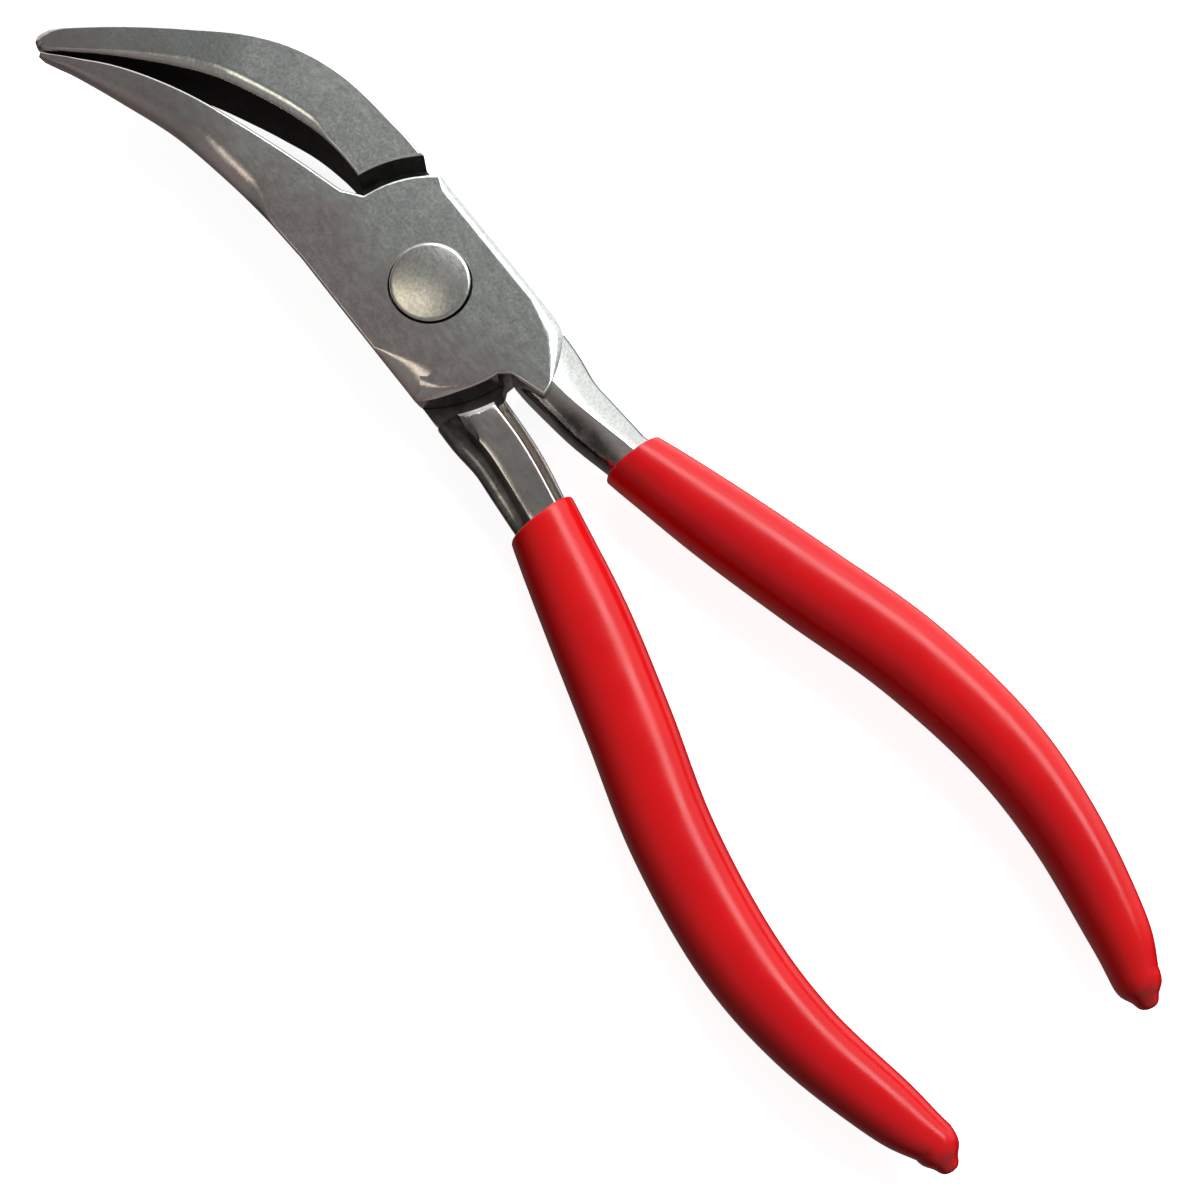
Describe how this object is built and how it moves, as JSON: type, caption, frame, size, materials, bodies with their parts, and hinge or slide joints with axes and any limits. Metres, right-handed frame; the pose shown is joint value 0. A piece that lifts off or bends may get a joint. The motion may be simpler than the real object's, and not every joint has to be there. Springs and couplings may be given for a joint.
{
  "type": "needle nose pliers",
  "caption": "Long nose pliers with slim jaws bent sideways, two forged halves lapped on a domed rivet, and dipped vinyl grips on bowed handles.",
  "frame": {"origin": "centre of the rivet's flat tail, in the plane of the surface the pliers lie on", "axes": "+Z along the rivet's axis from its tail to its domed head, +Y from the handles to the jaws midway between the handles; the jaws bend towards -X"},
  "size_m": [0.0566, 0.2023, 0.0121],
  "materials": {
    "forged_steel": "satin ground forging with a fine mottled grain",
    "rivet_steel": "satin, slightly warmer than the forgings",
    "red_vinyl": "glossy dip coat"
  },
  "bodies": {
    "front_side": {"front_half": "forged_steel", "pivot_rivet": "rivet_steel", "right_grip": "red_vinyl"},
    "rear_side": {"rear_half": "forged_steel", "left_grip": "red_vinyl"}
  },
  "joints": [
    {"name": "jaw_pivot", "type": "hinge", "parent": "front_side", "child": "rear_side", "pos_m": [0, 0, 0.0058], "axis": [0, 0, -1], "range_deg": [0, 45]}
  ]
}
